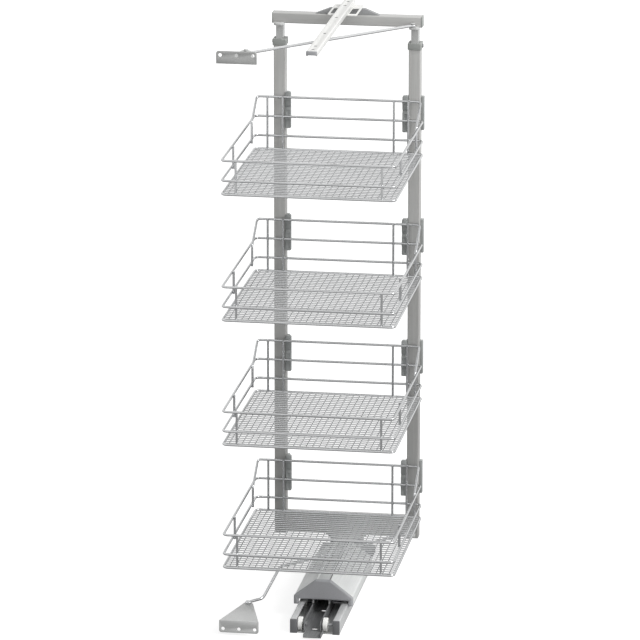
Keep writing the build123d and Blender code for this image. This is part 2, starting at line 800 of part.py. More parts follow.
def make_rivet(label, shank_low, head_low):
    with BuildPart() as rivet:
        disc(pivot_x, pivot_y, shank_low, shank_low + rod_bracket_thick, rivet_r)
        disc(pivot_x, pivot_y, head_low, head_low + rivet_head, rivet_head_r)
    save(rivet, label)


make_rivet("lower_rivet", lower_plate, lower_plate - rivet_head)
make_rivet("upper_rivet", upper_plate, upper_plate + rod_bracket_thick)


# Control rods: bent wire with a flat eye at each end
def make_rod(label, stations, bend):
    """stations are pairs of plan distance from the bracket's pivot and height of the wire's centre."""
    run = hypot(rod_pin_x - pivot_x, rod_pin_y - pivot_y)
    ux = (rod_pin_x - pivot_x) / run
    uy = (rod_pin_y - pivot_y) / run
    points = [(pivot_x + ux * d, pivot_y + uy * d, z) for d, z in stations]
    with BuildPart() as rod:
        with BuildLine() as path:
            if bend:
                FilletPolyline(*points, radius=bend)
            else:
                Polyline(*points)
        with BuildSketch(Plane(origin=path.line @ 0, z_dir=path.line % 0)):
            RegularPolygon(rod_r, rod_flats)
        sweep()
        for x, y, z in ((pivot_x, pivot_y, stations[0][1]), (rod_pin_x, rod_pin_y, stations[-1][1])):
            disc(x, y, z - rod_eye_half, z + rod_eye_half, rod_eye_r)
            disc(x, y, z - rod_r - cut_over, z + rod_r + cut_over, rod_pin_r + pin_gap, Mode.SUBTRACT)
    save(rod, label)
    return run


rod_run = hypot(rod_pin_x - pivot_x, rod_pin_y - pivot_y)
eye_start = rod_pin_r + rod_r
upper_pivot_z = upper_plate - run_gap - rod_r
upper_pin_z = shelf_low + shelf_front_thick + run_gap + rod_r
make_rod("upper_rod", ((eye_start, upper_pivot_z), (rod_run - eye_start, upper_pin_z)), 0)
lower_pivot_z = lower_plate + rod_bracket_thick + run_gap + rod_r
lower_pin_z = lug_low + lug_thick + run_gap + rod_r
make_rod("lower_rod", ((eye_start, lower_pivot_z), (rod_flat, lower_pivot_z), (rod_rise, lower_pin_z),
                       (rod_run - eye_start, lower_pin_z)), rod_bend)


# Baskets: three rim wires, a raised rear wire that slopes down at the sides, and upright posts
def bent_wire(points, radius, bends, closed=False):
    with BuildLine() as path:
        FilletPolyline(*points, radius=bends, close=closed)
    with BuildSketch(Plane(origin=path.line @ 0, z_dir=path.line % 0)) as ring:
        RegularPolygon(radius, wire_flats)
    sweep(ring.sketch, path=path.line)


def post(x, y, z0, z1, radius):
    with BuildSketch(Plane.XY.offset(z0)) as ring:
        with Locations((x, y)):
            RegularPolygon(radius, post_flats)
    extrude(ring.sketch, amount=z1 - z0)


def make_basket(label, base):
    half = basket_width / 2
    front = basket_back - basket_depth
    inset = half - 2 * wire_r + wire_weld
    post_inset = wire_r + thin_wire_r - wire_weld
    slope_foot = basket_back - slope_share * basket_depth
    post_foot = basket_back - side_post_share * basket_depth
    middle = base + basket_rail_heights[1]
    high = base + basket_rail_heights[2]
    top = base + basket_top_height
    with BuildPart() as basket:
        for height in basket_rail_heights:
            z = base + height
            corners = ((basket_x - half, front, z), (basket_x + half, front, z),
                       (basket_x + half, basket_back, z), (basket_x - half, basket_back, z))
            bent_wire(corners, wire_r, basket_corner, closed=True)
        slope = [
            (basket_x - inset, slope_foot, middle - post_tail), (basket_x - inset, slope_foot, high),
            (basket_x - inset, basket_back, top), (basket_x + inset, basket_back, top),
            (basket_x + inset, slope_foot, high), (basket_x + inset, slope_foot, middle - post_tail),
        ]
        bent_wire(slope, wire_r, side_bend)
        for side in (-1, 1):
            post(basket_x + side * inset, post_foot, middle - post_tail, high + post_tail, wire_r)
        for x in rear_posts:
            post(basket_x + x, basket_back - post_inset, base - post_end, top + post_end, thin_wire_r)
        for x in front_posts:
            post(basket_x + x, front + post_inset, base - post_end, high + post_end, thin_wire_r)
    save(basket, label)


def make_basket_floor(label, base):
    wide = basket_width - 2 * wire_r - 2 * mesh_gap
    deep = basket_depth - 2 * (wire_r + 2 * thin_wire_r - wire_weld + mesh_gap)
    gap_x = (wide - mesh_bar) / mesh_columns
    gap_y = (deep - mesh_bar) / mesh_rows
    with BuildPart() as net:
        with BuildSketch(Plane.XY.offset(base - mesh_thick / 2)):
            with Locations((basket_x, basket_back - basket_depth / 2)):
                RectangleRounded(wide, deep, basket_corner - wire_r)
                with GridLocations(gap_x, gap_y, mesh_columns, mesh_rows):
                    Rectangle(gap_x - mesh_bar, gap_y - mesh_bar, mode=Mode.SUBTRACT)
        extrude(amount=mesh_thick)
    save(net, label)


for level, base in enumerate(basket_bases, start=1):
    make_basket(f"basket_{level}", base)
    make_basket_floor(f"basket_floor_{level}", base)
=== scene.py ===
import json
from math import hypot, pi, radians, sin, tan

import bpy
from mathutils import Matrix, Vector


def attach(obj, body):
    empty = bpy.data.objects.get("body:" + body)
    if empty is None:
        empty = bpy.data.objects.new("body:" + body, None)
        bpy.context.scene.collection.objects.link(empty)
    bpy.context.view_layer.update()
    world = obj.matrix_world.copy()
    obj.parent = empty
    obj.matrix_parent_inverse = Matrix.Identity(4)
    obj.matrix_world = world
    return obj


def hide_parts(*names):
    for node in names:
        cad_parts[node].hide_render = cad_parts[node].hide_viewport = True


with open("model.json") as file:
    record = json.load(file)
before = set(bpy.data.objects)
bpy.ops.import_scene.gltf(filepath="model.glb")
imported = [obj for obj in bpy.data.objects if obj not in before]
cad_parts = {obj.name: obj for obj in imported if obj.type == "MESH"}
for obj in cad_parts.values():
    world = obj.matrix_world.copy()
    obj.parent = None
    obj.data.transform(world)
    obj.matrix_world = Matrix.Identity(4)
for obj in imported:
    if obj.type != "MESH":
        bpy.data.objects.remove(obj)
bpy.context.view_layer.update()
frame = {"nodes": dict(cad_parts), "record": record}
print("frame loaded:", len(frame["nodes"]), "nodes")

# measures below are in mm unless they say otherwise; the baskets are numbered from the top
mm = 0.001
white = (1, 1, 1, 1)
levels = range(1, 5)

bodyOfNode = {}
for bodyName, nodeNames in frame["record"]["behaviour"]["bodies"].items():
    for nodeName in nodeNames:
        bodyOfNode[nodeName] = bodyName
slotOfNode = {part["node"]: part["material_slot"] for part in frame["record"]["subparts"]}


def tone(r, g, b):
    # a colour from 0 to 255 as in a picture, turned into the shader's linear values by the sRGB curve
    values = []
    for channel in (r, g, b):
        c = channel / 255
        values.append(c / 12.92 if c <= 0.04045 else ((c + 0.055) / 1.055) ** 2.4)
    return (*values, 1.0)


def deselectAll():
    if bpy.context.object and bpy.context.object.mode != "OBJECT":
        bpy.ops.object.mode_set(mode="OBJECT")
    bpy.ops.object.select_all(action="DESELECT")


def pickOnly(*objs):
    deselectAll()
    for obj in objs:
        obj.select_set(True)
    bpy.context.view_layer.objects.active = objs[0]


# surfaces: how each finish of the unit looks
grainSettings = {
    "fineDetail": 4.0, "cloudDetail": 2.0, "cloudScale": 9.0, "cloudShare": 0.35, "low": 0.35, "high": 0.65,
    "coatRoughness": 0.2, "specular": 0.5, "bumpDepth": 0.05,
}


def makeGrainGroup():
    # grain or brushing at one scale and slow clouding over it, for colour and roughness; the bump takes
    # the grain alone. A mix node has its factor at input 0, numbers at 2 and 3 and colours at 6 and 7
    group = bpy.data.node_groups.new("surfaceGrain", "ShaderNodeTree")
    face = group.interface
    face.new_socket("Base", in_out="INPUT", socket_type="NodeSocketColor")
    face.new_socket("Shade", in_out="INPUT", socket_type="NodeSocketColor")
    face.new_socket("Stretch", in_out="INPUT", socket_type="NodeSocketVector")
    face.new_socket("Scale", in_out="INPUT", socket_type="NodeSocketFloat")
    face.new_socket("Smooth", in_out="INPUT", socket_type="NodeSocketFloat")
    face.new_socket("Rough", in_out="INPUT", socket_type="NodeSocketFloat")
    face.new_socket("Color", in_out="OUTPUT", socket_type="NodeSocketColor")
    face.new_socket("Roughness", in_out="OUTPUT", socket_type="NodeSocketFloat")
    face.new_socket("Height", in_out="OUTPUT", socket_type="NodeSocketFloat")
    nodes, links = group.nodes, group.links
    start = nodes.new("NodeGroupInput")
    end = nodes.new("NodeGroupOutput")
    place = nodes.new("ShaderNodeTexCoord")
    stretched = nodes.new("ShaderNodeVectorMath")
    stretched.operation = "MULTIPLY"
    links.new(place.outputs["Object"], stretched.inputs[0])
    links.new(start.outputs["Stretch"], stretched.inputs[1])
    grain = nodes.new("ShaderNodeTexNoise")
    grain.inputs["Detail"].default_value = grainSettings["fineDetail"]
    links.new(stretched.outputs[0], grain.inputs["Vector"])
    links.new(start.outputs["Scale"], grain.inputs["Scale"])
    cloud = nodes.new("ShaderNodeTexNoise")
    cloud.inputs["Scale"].default_value = grainSettings["cloudScale"]
    cloud.inputs["Detail"].default_value = grainSettings["cloudDetail"]
    links.new(place.outputs["Object"], cloud.inputs["Vector"])
    both = nodes.new("ShaderNodeMix")
    both.data_type = "FLOAT"
    both.inputs[0].default_value = grainSettings["cloudShare"]
    links.new(grain.outputs["Fac"], both.inputs[2])
    links.new(cloud.outputs["Fac"], both.inputs[3])
    spread = nodes.new("ShaderNodeMapRange")
    spread.inputs["From Min"].default_value = grainSettings["low"]
    spread.inputs["From Max"].default_value = grainSettings["high"]
    links.new(both.outputs[0], spread.inputs["Value"])
    tint = nodes.new("ShaderNodeMix")
    tint.data_type = "RGBA"
    links.new(spread.outputs["Result"], tint.inputs[0])
    links.new(start.outputs["Base"], tint.inputs[6])
    links.new(start.outputs["Shade"], tint.inputs[7])
    gloss = nodes.new("ShaderNodeMapRange")
    links.new(both.outputs[0], gloss.inputs["Value"])
    gloss.inputs["From Min"].default_value = grainSettings["low"]
    gloss.inputs["From Max"].default_value = grainSettings["high"]
    links.new(start.outputs["Smooth"], gloss.inputs["To Min"])
    links.new(start.outputs["Rough"], gloss.inputs["To Max"])
    links.new(tint.outputs[2], end.inputs["Color"])
    links.new(gloss.outputs["Result"], end.inputs["Roughness"])
    links.new(grain.outputs["Fac"], end.inputs["Height"])
    return group


grainGroup = makeGrainGroup()


def makeFinish(name, look):
    material = bpy.data.materials.new(name)
    material.use_nodes = True
    nodes, links = material.node_tree.nodes, material.node_tree.links
    shader = nodes["Principled BSDF"]
    grain = nodes.new("ShaderNodeGroup")
    grain.node_tree = grainGroup
    grain.inputs["Base"].default_value = look["base"]
    grain.inputs["Shade"].default_value = look["shade"]
    grain.inputs["Stretch"].default_value = look.get("stretch", (1, 1, 1))
    grain.inputs["Scale"].default_value = look["scale"]
    grain.inputs["Smooth"].default_value = look["smooth"]
    grain.inputs["Rough"].default_value = look["rough"]
    links.new(grain.outputs["Color"], shader.inputs["Base Color"])
    links.new(grain.outputs["Roughness"], shader.inputs["Roughness"])
    shader.inputs["Metallic"].default_value = look.get("metallic", 0)
    shader.inputs["Specular IOR Level"].default_value = look.get("specular", grainSettings["specular"])
    shader.inputs["Coat Weight"].default_value = look.get("coat", 0)
    shader.inputs["Coat Roughness"].default_value = grainSettings["coatRoughness"]
    bump = nodes.new("ShaderNodeBump")
    bump.inputs["Strength"].default_value = look["bump"]
    bump.inputs["Distance"].default_value = look.get("depth", grainSettings["bumpDepth"]) * mm
    links.new(grain.outputs["Height"], bump.inputs["Height"])
    links.new(bump.outputs["Normal"], shader.inputs["Normal"])
    return material


# the grain runs between the tones base and shade and between the roughnesses smooth and rough; stretch
# draws it out along the axis with the small number, and depth is the bump's height
finishLooks = {
    "frameSatin": {
        "base": tone(188, 188, 186), "shade": tone(178, 178, 176), "metallic": 0.3, "smooth": 0.36,
        "rough": 0.48, "scale": 420, "stretch": (1, 1, 0.02), "bump": 0.25,
    },
    "crossbarSatin": {
        "base": tone(195, 195, 193), "shade": tone(185, 185, 183), "metallic": 0.3, "smooth": 0.36,
        "rough": 0.48, "scale": 420, "stretch": (0.02, 1, 1), "bump": 0.25,
    },
    # painted light: a lighter copy of the frame's satin for the cross member, which lies in the nets' shade
    "memberSatinPaintedLight": {
        "base": tone(206, 206, 204), "shade": tone(196, 196, 194), "metallic": 0.2, "smooth": 0.36,
        "rough": 0.48, "scale": 420, "stretch": (0.02, 1, 1), "bump": 0.25,
    },
    "innerTube": {
        "base": tone(178, 179, 178), "shade": tone(166, 167, 166), "metallic": 0.5, "smooth": 0.22,
        "rough": 0.34, "scale": 500, "stretch": (1, 1, 0.02), "bump": 0.2,
    },
    "coverAnodised": {
        "base": tone(244, 246, 245), "shade": tone(234, 236, 235), "metallic": 0.1, "smooth": 0.3,
        "rough": 0.42, "scale": 420, "stretch": (1, 0.02, 1), "bump": 0.25,
    },
    # painted shade: a darker copy of the cover's finish for the strip on the cover's top, where the baskets'
    # shadow falls
    "coverStripPaintedShade": {
        "base": tone(218, 220, 220), "shade": tone(208, 210, 210), "metallic": 0.3, "smooth": 0.34,
        "rough": 0.46, "scale": 420, "stretch": (1, 0.02, 1), "bump": 0.25,
    },
    "zincPlate": {
        "base": tone(206, 207, 206), "shade": tone(194, 195, 194), "metallic": 0.15, "smooth": 0.34,
        "rough": 0.5, "scale": 420, "bump": 0.3,
    },
    "railZinc": {
        "base": tone(222, 223, 223), "shade": tone(208, 209, 209), "metallic": 0.35, "smooth": 0.28,
        "rough": 0.44, "scale": 300, "stretch": (1, 0.05, 1), "bump": 0.25,
    },
    "beamDark": {
        "base": tone(130, 131, 132), "shade": tone(116, 117, 118), "specular": 0.1, "smooth": 0.5,
        "rough": 0.66, "scale": 300, "stretch": (1, 0.05, 1), "bump": 0.25,
    },
    "runnerWhite": {
        "base": tone(232, 232, 230), "shade": tone(224, 224, 221), "smooth": 0.32, "rough": 0.44,
        "scale": 220, "bump": 0.15, "coat": 0.1,
    },
    "rollerWhite": {
        "base": tone(250, 250, 248), "shade": tone(242, 242, 239), "smooth": 0.34, "rough": 0.48,
        "scale": 300, "bump": 0.2,
    },
    "capGrey": {
        "base": tone(182, 183, 186), "shade": tone(170, 171, 174), "smooth": 0.5, "rough": 0.64,
        "scale": 900, "bump": 0.5, "depth": 0.08,
    },
    "endGrey": {
        "base": tone(124, 125, 127), "shade": tone(112, 113, 115), "smooth": 0.5, "rough": 0.64,
        "scale": 900, "bump": 0.5, "depth": 0.08,
    },
    "clipGrey": {
        "base": tone(166, 169, 168), "shade": tone(154, 157, 156), "smooth": 0.46, "rough": 0.6,
        "scale": 900, "bump": 0.5, "depth": 0.08,
    },
    "collarGrey": {
        "base": tone(168, 171, 168), "shade": tone(156, 159, 156), "smooth": 0.46, "rough": 0.6,
        "scale": 900, "bump": 0.5, "depth": 0.08,
    },
    "wingGrey": {
        "base": tone(164, 165, 166), "shade": tone(152, 153, 154), "metallic": 0.25, "smooth": 0.4,
        "rough": 0.54, "scale": 300, "bump": 0.4,
    },
    "castGrey": {
        "base": tone(160, 162, 164), "shade": tone(146, 148, 150), "metallic": 0.3, "smooth": 0.46,
        "rough": 0.62, "scale": 240, "bump": 0.6, "depth": 0.15,
    },
    "wireChrome": {
        "base": tone(208, 209, 210), "shade": tone(196, 197, 198), "metallic": 1, "smooth": 0.1,
        "rough": 0.18, "scale": 260, "bump": 0.1,
    },
    # painted light and shade: the net's across wires on top are a lighter copy and the along wires beneath a
    # darker copy of one wire
    "netAcrossPaintedLight": {
        "base": tone(216, 217, 218), "shade": tone(206, 207, 208), "metallic": 0.6, "smooth": 0.34,
        "rough": 0.46, "scale": 260, "bump": 0.1,
    },
    "netAlongPaintedShade": {
        "base": tone(150, 151, 152), "shade": tone(138, 139, 140), "metallic": 0.4, "smooth": 0.4,
        "rough": 0.5, "scale": 260, "bump": 0.1,
    },
    "rodChrome": {
        "base": tone(228, 229, 230), "shade": tone(216, 217, 218), "metallic": 1, "smooth": 0.1,
        "rough": 0.2, "scale": 260, "bump": 0.1,
    },
    "bracketZinc": {
        "base": tone(186, 187, 186), "shade": tone(174, 175, 174), "metallic": 0.15, "smooth": 0.34,
        "rough": 0.5, "scale": 420, "bump": 0.3,
    },
    # painted shade: black for the shadow in the groove beside the cover's strip
    "grooveShadeBlack": {
        "base": tone(44, 44, 46), "shade": tone(34, 34, 36), "specular": 0.2, "smooth": 0.6,
        "rough": 0.75, "scale": 600, "bump": 0.2,
    },
    # painted shade: dark grey for the shadowed inside of the ceiling rail and its holes
    "railShadeGrey": {
        "base": tone(96, 97, 98), "shade": tone(84, 85, 86), "specular": 0.2, "smooth": 0.5,
        "rough": 0.66, "scale": 600, "bump": 0.2,
    },
    "shelfGrey": {
        "base": tone(206, 207, 206), "shade": tone(194, 195, 194), "smooth": 0.4, "rough": 0.54,
        "scale": 600, "bump": 0.3,
    },
    "screwSteel": {
        "base": tone(182, 183, 184), "shade": tone(160, 161, 163), "metallic": 0.7, "smooth": 0.2,
        "rough": 0.38, "scale": 340, "bump": 0.3,
    },
}
finishes = {name: makeFinish(name, look) for name, look in finishLooks.items()}
print("surfaces made:", len(finishes))

finishOfSlot = {
    "rail_steel": "railZinc", "grey_plastic": "capGrey", "plated_steel": "zincPlate",
    "grey_metal": "castGrey", "white_plastic": "rollerWhite", "cover_metal": "coverAnodised",
    "frame_metal": "frameSatin", "tube_metal": "innerTube", "collar_plastic": "collarGrey",
    "bracket_plastic": "clipGrey", "slide_white": "runnerWhite", "rod_chrome": "rodChrome",
    "basket_wire": "wireChrome",
}
finishOfNode = {
    # cross_member takes a lighter copy of the frame's satin, painted light
    "crossbar": "crossbarSatin", "cross_member": "memberSatinPaintedLight", "pivot_wings": "wingGrey",
    "pivot_bracket": "runnerWhite", "clamp_screws": "screwSteel", "swivel_bolt": "screwSteel",
    "pivot_bolt": "screwSteel", "wheel_axles": "screwSteel", "crossbar_caps": "collarGrey",
    "lower_rivet": "zincPlate", "upper_rivet": "zincPlate", "tube_shelf_left": "shelfGrey",
    "tube_shelf_right": "shelfGrey", "rail_ends": "endGrey", "carriage_beam": "beamDark",
    # cover_strip takes a darker copy of the cover's finish, painted shade
    "cover_strip": "coverStripPaintedShade", "upper_bracket": "bracketZinc",
}


def finishFor(nodeName):
    # a node's own finish, or else that of its slot
    return finishes[finishOfNode.get(nodeName, finishOfSlot[slotOfNode[nodeName]])]


def paint(obj, finish):
    obj.data.materials.clear()
    obj.data.materials.append(finish)


def finishPiece(obj, nodeName, painted=False):
    # moves the piece's own origin to zero, gives it the surface of its node or slot if it isn't painted yet,
    # and gives it its body
    pickOnly(obj)
    bpy.ops.object.transform_apply(location=True, rotation=True, scale=True)
    if not painted:
        paint(obj, finishFor(nodeName))
    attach(obj, bodyOfNode[nodeName])


for nodeName, node in frame["nodes"].items():
    for materialSlot in node.material_slots:
        materialSlot.link = "OBJECT"
        materialSlot.material = finishFor(nodeName)

# machined pieces are copies of the frame's own, with smooth rounds and edges eased by these widths
easedEdges = {
    "rail_left": 0.5, "rail_right": 0.5, "rail_ends": 0.6, "carriage_beam": 0.4, "cover": 0.25,
    "cover_strip": 0.2, "cover_cap_rear": 0.6, "cover_cap_front": 0.4, "swivel_base": 1.0,
    "swivel_plate": 0.5, "swivel_washer": 0.4, "swivel_bolt": 0.6, "cross_member": 0.3,
    "upright_left": 0.2, "upright_right": 0.2, "upright_plugs": 0.3, "collar_left": 0.5,
    "collar_right": 0.5, "clamp_screws": 0.5, "inner_tube_left": 0.2, "inner_tube_right": 0.2,
    "tube_shelf_left": 0.4, "tube_shelf_right": 0.4, "crossbar": 0.2, "crossbar_caps": 0.5,
    "pivot_wings": 0.5, "pivot_bolt": 0.4, "pivot_bracket": 0.5, "ceiling_rail": 0.25,
    "ceiling_stop": 0.5, "slide_runner": 0.3, "upper_bracket": 0.4, "lower_bracket": 0.4,
    "upper_rivet": 0.5, "lower_rivet": 0.5, "lower_rod_lug": 0.4, "wheel_axles": 0.4,
}
bracketEdge = 0.6
for level in levels:
    easedEdges[f"basket_bracket_left_{level}"] = bracketEdge
    easedEdges[f"basket_bracket_right_{level}"] = bracketEdge

# angles are in degrees
easeSettings = {"weld": 0.01, "flatWithin": 0.5, "segments": 2, "sharperThan": 44, "smoothWithin": 38}


def easeNode(nodeName, width):
    source = frame["nodes"][nodeName]
    copy = source.copy()
    copy.data = source.data.copy()
    copy.name = nodeName + "_eased"
    copy.data.name = copy.name
    bpy.context.scene.collection.objects.link(copy)
    copy.parent = None
    pickOnly(copy)
    bpy.ops.object.mode_set(mode="EDIT")
    bpy.ops.mesh.select_all(action="SELECT")
    bpy.ops.mesh.remove_doubles(threshold=easeSettings["weld"] * mm)
    bpy.ops.mesh.dissolve_limited(angle_limit=radians(easeSettings["flatWithin"]))
    bpy.ops.object.mode_set(mode="OBJECT")
    ease = copy.modifiers.new("ease", "BEVEL")
    ease.width = width * mm
    ease.segments = easeSettings["segments"]
    ease.limit_method = "ANGLE"
    ease.angle_limit = radians(easeSettings["sharperThan"])
    bpy.ops.object.modifier_apply(modifier="ease")
    bpy.ops.object.shade_smooth_by_angle(angle=radians(easeSettings["smoothWithin"]))
    finishPiece(copy, nodeName)
    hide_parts(nodeName)


for nodeName, width in easedEdges.items():
    easeNode(nodeName, width)
print("edges eased:", len(easedEdges))

# wire work: bends have bendSteps steps, and sides sets how round a wire is
wireSettings = {"sides": 6, "bendSteps": 7, "smoothWithin": 50}


def roundCorners(points, bend, closed):
    # a path's corners turned into short arcs
    path = []
    count = len(points)
    steps = wireSettings["bendSteps"]
    for i, point in enumerate(points):
        here = Vector(point)
        if not closed and i in (0, count - 1):
            path.append(here)
            continue
        toBefore = (Vector(points[i - 1]) - here).normalized()
        toAfter = (Vector(points[(i + 1) % count]) - here).normalized()
        half = toBefore.angle(toAfter) / 2
        reach = bend / tan(half)
        centre = here + (toBefore + toAfter).normalized() * (bend / sin(half))
        first = here + toBefore * reach - centre
        last = here + toAfter * reach - centre
        for step in range(steps + 1):
            path.append(centre + first.slerp(last, step / steps).normalized() * bend)
    return path


def bentWire(name, points, radius, bend=0.0, closed=False, sides=None):
    path = roundCorners(points, bend, closed) if bend else [Vector(p) for p in points]
    curve = bpy.data.curves.new(name, "CURVE")
    curve.dimensions = "3D"
    spline = curve.splines.new("POLY")
    spline.points.add(len(path) - 1)
    for spot, place in zip(spline.points, path):
        spot.co = (*place, 1)
    spline.use_cyclic_u = closed
    curve.bevel_depth = radius
    curve.bevel_resolution = sides or wireSettings["sides"]
    curve.use_fill_caps = not closed
    obj = bpy.data.objects.new(name, curve)
    bpy.context.scene.collection.objects.link(obj)
    pickOnly(obj)
    bpy.ops.object.convert(target="MESH")
    bpy.ops.object.shade_smooth_by_angle(angle=radians(wireSettings["smoothWithin"]))
    return bpy.context.object


def joinPieces(name, pieces):
    pickOnly(*pieces)
    if len(pieces) > 1:
        bpy.ops.object.join()
    obj = bpy.context.object
    obj.name = name
    obj.data.name = name
    return obj


# rims and top are heights above the lowest rim, and rearPosts and frontPosts are places along x from the
# basket's middle; inset is taken from the sides, postInset from the ends, slope and sidePost from the
# back, and wires reach past the rims by sideEnd and postEnd
basket = {
    "centreX": -18.5, "back": 230.0, "width": 407.9, "depth": 464.0, "corner": 12.0, "wire": 3.0,
    "post": 2.7, "rims": (0.0, 32.9, 80.8), "top": 128.7, "inset": 5.1, "postInset": 4.8, "slope": 74.2,
    "sidePost": 332.2, "sideBend": 8.0, "sideEnd": 3.5, "postEnd": 2.0,
    "rearPosts": (-172.4, -134.8, 134.6, 169.6), "frontPosts": (-171.0, 173.0),
    "lowest": 148.7, "pitch": 304.0,
}
net = {
    "alongWire": 1.15, "acrossWire": 1.5, "pitchX": 15.28, "pitchY": 15.3, "countX": 26, "countY": 30,
    "layer": 1.05, "endInset": 1.0, "sides": 3,
}


def wireBasket(level, base):
    b = basket
    x0 = b["centreX"] - b["width"] / 2
    x1 = b["centreX"] + b["width"] / 2
    y0 = b["back"] - b["depth"]
    y1 = b["back"]
    pieces = []
    for height in b["rims"]:
        z = (base + height) * mm
        corners = [
            (x0 * mm, y0 * mm, z), (x1 * mm, y0 * mm, z), (x1 * mm, y1 * mm, z), (x0 * mm, y1 * mm, z)]
        pieces.append(bentWire("rim", corners, b["wire"] * mm, b["corner"] * mm, closed=True))
    middle, high, top = base + b["rims"][1], base + b["rims"][2], base + b["top"]
    left, right = x0 + b["inset"], x1 - b["inset"]
    foot = y1 - b["slope"]
    sideLow, sideHigh = middle - b["sideEnd"], high + b["sideEnd"]
    slope = [
        (left, foot, sideLow), (left, foot, high), (left, y1, top),
        (right, y1, top), (right, foot, high), (right, foot, sideLow)]
    pieces.append(bentWire("slope", [[v * mm for v in p] for p in slope], b["wire"] * mm, b["sideBend"] * mm))
    for x in (left, right):
        y = y1 - b["sidePost"]
        ends = [(x * mm, y * mm, sideLow * mm), (x * mm, y * mm, sideHigh * mm)]
        pieces.append(bentWire("sidePost", ends, b["wire"] * mm))
    for offset in b["rearPosts"]:
        x, y = b["centreX"] + offset, y1 - b["postInset"]
        ends = [(x * mm, y * mm, (base - b["postEnd"]) * mm), (x * mm, y * mm, (top + b["postEnd"]) * mm)]
        pieces.append(bentWire("rearPost", ends, b["post"] * mm))
    for offset in b["frontPosts"]:
        x, y = b["centreX"] + offset, y0 + b["postInset"]
        ends = [(x * mm, y * mm, (base - b["postEnd"]) * mm), (x * mm, y * mm, (high + b["postEnd"]) * mm)]
        pieces.append(bentWire("frontPost", ends, b["post"] * mm))
    wires = joinPieces(f"basket_wires_{level}", pieces)
    finishPiece(wires, f"basket_{level}")
    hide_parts(f"basket_{level}")


def wireNet(level, base):
    b, n = basket, net
    y0 = b["back"] - b["depth"]
    middleY = y0 + b["depth"] / 2
    pieces = []
    for i in range(n["countX"]):
        x = b["centreX"] + (i - (n["countX"] - 1) / 2) * n["pitchX"]
        z = (base - n["layer"]) * mm
        ends = [(x * mm, (y0 + n["endInset"]) * mm, z), (x * mm, (b["back"] - n["endInset"]) * mm, z)]
        wire = bentWire("along", ends, n["alongWire"] * mm, sides=n["sides"])
        # painted shade: the along wires beneath are darker
        paint(wire, finishes["netAlongPaintedShade"])
        pieces.append(wire)
    for i in range(n["countY"]):
        y = middleY + (i - (n["countY"] - 1) / 2) * n["pitchY"]
        z = (base + n["layer"]) * mm
        reach = b["width"] / 2 - n["endInset"]
        ends = [((b["centreX"] - reach) * mm, y * mm, z), ((b["centreX"] + reach) * mm, y * mm, z)]
        wire = bentWire("across", ends, n["acrossWire"] * mm, sides=n["sides"])
        # painted light: the across wires on top are lighter
        paint(wire, finishes["netAcrossPaintedLight"])
        pieces.append(wire)
    wires = joinPieces(f"basket_net_{level}", pieces)
    finishPiece(wires, f"basket_floor_{level}", painted=True)
    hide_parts(f"basket_floor_{level}")


for level in levels:
    base = basket["lowest"] + basket["pitch"] * (levels[-1] - level)
    wireBasket(level, base)
    wireNet(level, base)
print("baskets wired")

# control rods with rolled eyes: each station is a distance from the pivot on the bracket and a height, and
# None stands for the rod's far end, eyeReach before the pin on the frame
eyeReach = 6.5
rods = {
    "radius": 3.5, "sides": 8, "eye": 5.55, "eyeWire": 2.45, "eyeSteps": 36, "eyeSides": 14,
    "pinX": 160.0, "pinY": 230.0, "pivotX": -175.4, "pivotY": -160.7, "bend": 16.0,
    "upper": ((eyeReach, 1382.1), (None, 1375.3)),
    "lower": ((eyeReach, 40.3), (45.0, 40.3), (99.0, 107.8), (None, 107.8)),
}


def controlRod(nodeName, stations, bend):
    r = rods
    run = hypot(r["pinX"] - r["pivotX"], r["pinY"] - r["pivotY"])
    ux = (r["pinX"] - r["pivotX"]) / run
    uy = (r["pinY"] - r["pivotY"]) / run
    points = []
    for distance, z in stations:
        d = run - eyeReach if distance is None else distance
        points.append(((r["pivotX"] + ux * d) * mm, (r["pivotY"] + uy * d) * mm, z * mm))
    pieces = [bentWire("rodWire", points, r["radius"] * mm, bend * mm, sides=r["sides"])]
    eyes = ((r["pivotX"], r["pivotY"], stations[0][1]), (r["pinX"], r["pinY"], stations[-1][1]))
    for x, y, z in eyes:
        deselectAll()
        bpy.ops.mesh.primitive_torus_add(
            location=(x * mm, y * mm, z * mm), major_segments=r["eyeSteps"], minor_segments=r["eyeSides"],
            major_radius=r["eye"] * mm, minor_radius=r["eyeWire"] * mm)
        bpy.ops.object.shade_smooth()
        pieces.append(bpy.context.object)
    rod = joinPieces(nodeName + "_wire", pieces)
    finishPiece(rod, nodeName)
    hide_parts(nodeName)


controlRod("upper_rod", rods["upper"], 0)
controlRod("lower_rod", rods["lower"], rods["bend"])
print("rods bent")

# wheels and rollers: each side is sunk in between the radii hub and web
wheels = {
    "rear_wheels": {
        "x": (-36.3, 23.7), "y": -234.0, "z": 19.0, "radius": 16.5, "width": 11.0, "hub": 7.0, "web": 13.0},
    "lift_rollers": {
        "x": (-51.0, 51.0), "y": -234.0, "z": 19.0, "radius": 12.8, "width": 9.0, "hub": 6.4, "web": 10.1},
    "middle_rollers": {
        "x": (-51.0, 51.0), "y": -61.0, "z": 17.0, "radius": 14.5, "width": 9.0, "hub": 7.0, "web": 11.4},
}
turning = {
    "bore": 4.05, "sunk": 1.5, "draft": 0.4, "chamfer": 1.2, "steps": 56, "weld": 0.01, "smoothWithin": 35,
}


def wheelOutline(w):
    # distances from the middle plane and radii, for one side and then back along the other
    t = turning
    half = w["width"] / 2
    sunk = half - t["sunk"]
    side = [
        (half, t["bore"]), (half, w["hub"]), (sunk, w["hub"] + t["draft"]), (sunk, w["web"] - t["draft"]),
        (half, w["web"]), (half, w["radius"] - t["chamfer"]), (half - t["chamfer"], w["radius"])]
    return side + [(-across, out) for across, out in reversed(side)]


